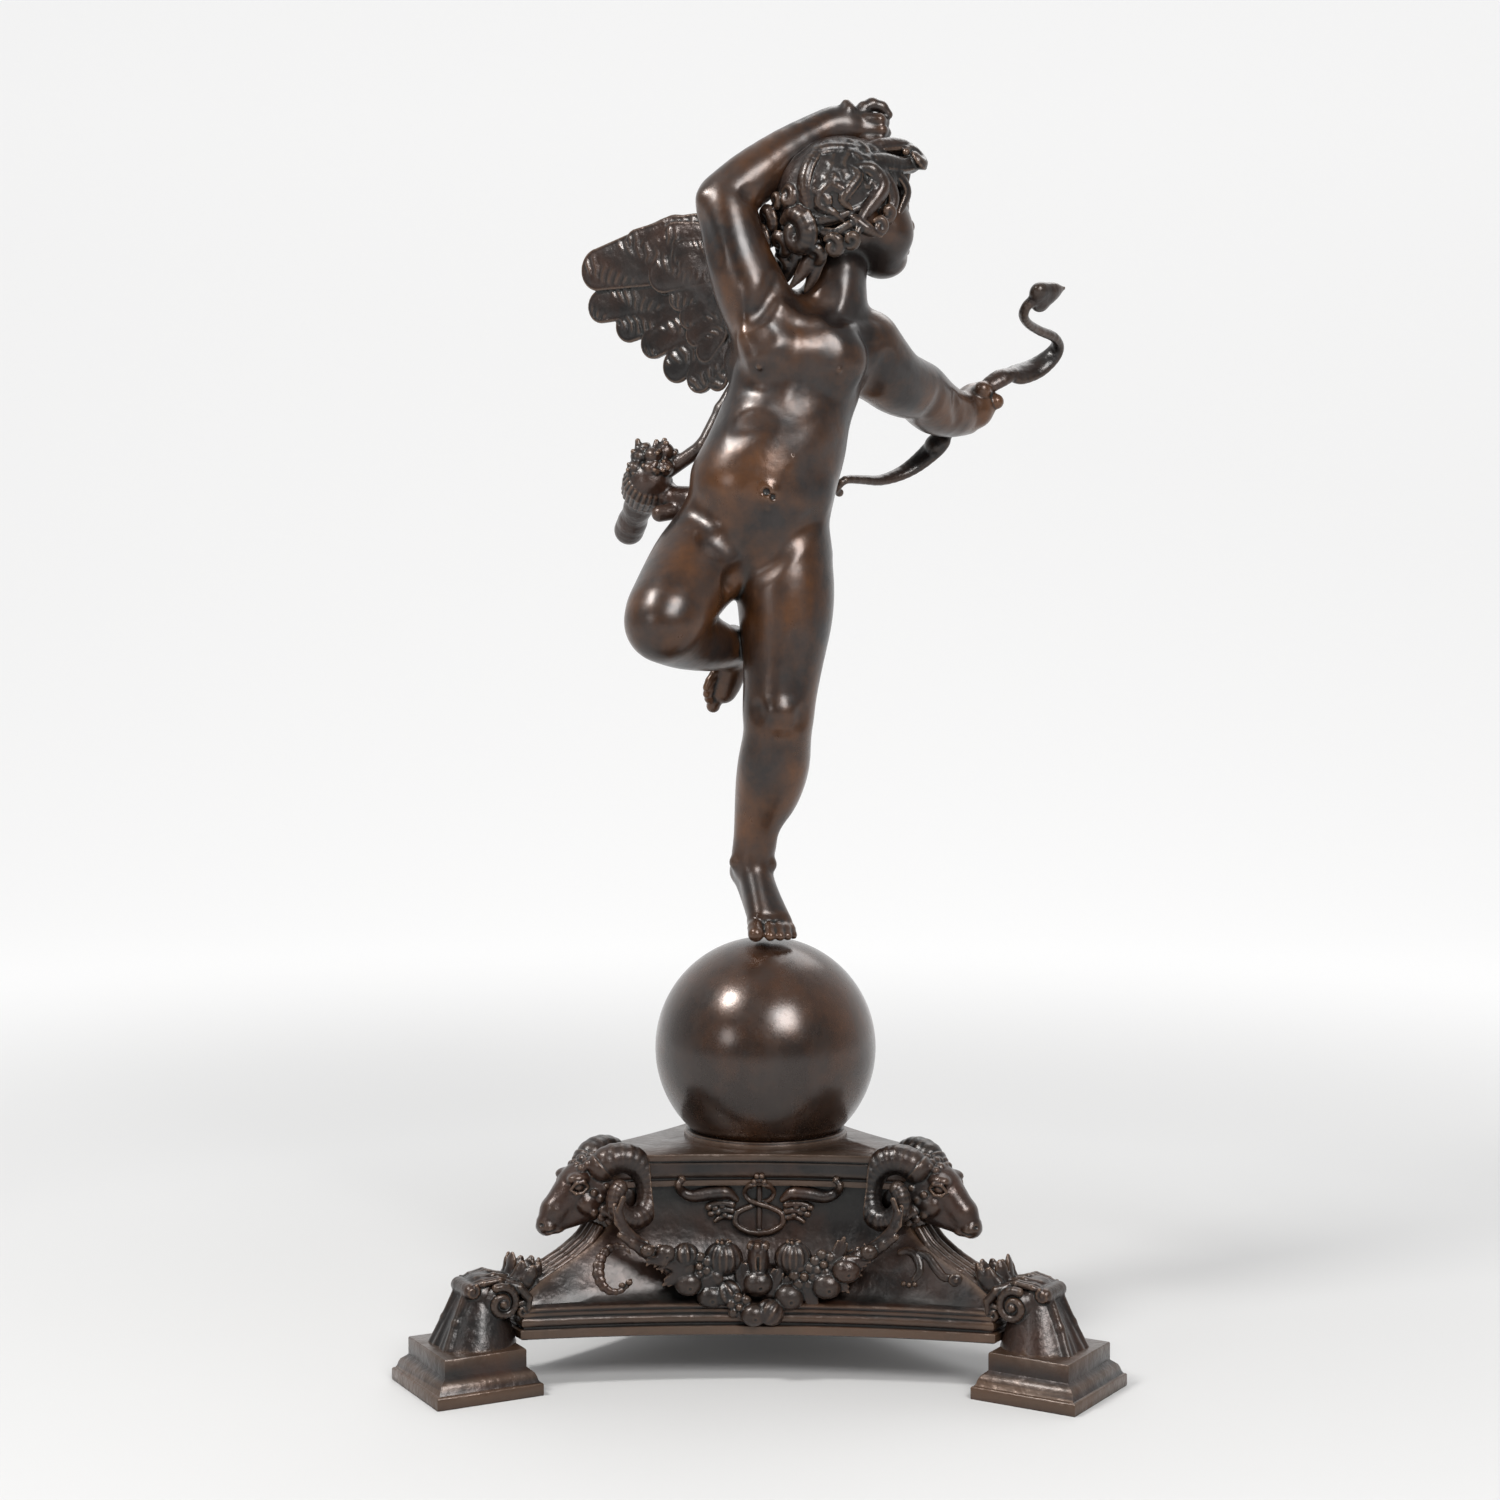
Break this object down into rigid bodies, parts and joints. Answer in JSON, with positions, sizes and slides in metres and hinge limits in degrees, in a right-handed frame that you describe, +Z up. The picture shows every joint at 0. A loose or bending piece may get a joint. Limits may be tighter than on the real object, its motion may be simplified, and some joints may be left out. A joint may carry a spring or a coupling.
{
  "type": "cupid statue",
  "caption": "Bronze statue of a winged boy archer running on a ball, with bow and quiver, on a three-sided plinth with rams' heads, garlands and scroll feet.",
  "frame": {"origin": "on the floor, in the middle of the statue's bounding box", "axes": "+Z up, -Y towards the statue's front, where two of the three legs stand; the third leg points to +Y"},
  "size_m": [0.5264, 0.456, 0.9311],
  "materials": {
    "plinth": "dark brown waxed patina",
    "ball": "brown waxed patina",
    "figure": "warm brown waxed patina",
    "bow": "dark brown waxed patina"
  },
  "bodies": {
    "root": {"plinth": "plinth", "ball": "ball", "figure": "figure", "bow": "bow"}
  },
  "joints": []
}
